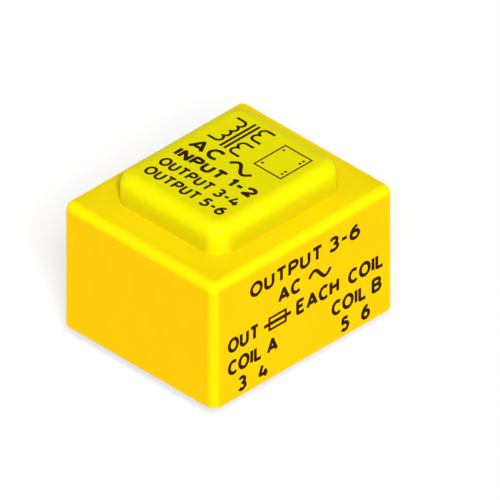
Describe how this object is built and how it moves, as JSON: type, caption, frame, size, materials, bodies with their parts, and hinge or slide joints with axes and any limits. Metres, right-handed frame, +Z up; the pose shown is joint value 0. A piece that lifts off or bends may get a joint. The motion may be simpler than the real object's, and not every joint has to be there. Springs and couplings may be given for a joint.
{
  "type": "encapsulated transformer",
  "caption": "Small encapsulated mains transformer for circuit boards: a potted, moulded case with rounded edges, a raised panel over the coil and solder pins underneath.",
  "frame": {"origin": "centre of the pin pattern, on the plane of the case's rim, which sits on the board", "axes": "+Z up from the board, +X along the long sides, the secondary pins on the -Y side"},
  "size_m": [0.044, 0.037, 0.0355],
  "materials": {
    "case_plastic": "satin moulded thermoplastic",
    "resin": "cast potting resin",
    "former_plastic": "moulded thermoplastic",
    "sheet_steel": "punched silicon steel with an oxide film",
    "copper": "enamelled copper wire",
    "tape": "polyester film tape",
    "tinned_pin": "tinned",
    "solder": "soft solder"
  },
  "bodies": {
    "root": {"case": "case_plastic", "potting_resin": "resin", "coil_former": "former_plastic", "e_laminations": "sheet_steel", "i_laminations": "sheet_steel", "primary_winding": "copper", "primary_tape": "tape", "secondary_winding_1": "copper", "secondary_inner_tape": "tape", "secondary_winding_2": "copper", "secondary_outer_tape": "tape", "primary_pin_1": "tinned_pin", "primary_pin_2": "tinned_pin", "secondary_pin_1": "tinned_pin", "secondary_pin_2": "tinned_pin", "secondary_pin_3": "tinned_pin", "secondary_pin_4": "tinned_pin", "primary_joint_1": "solder", "primary_joint_2": "solder", "secondary_joint_1": "solder", "secondary_joint_2": "solder", "secondary_joint_3": "solder", "secondary_joint_4": "solder"}
  },
  "joints": []
}
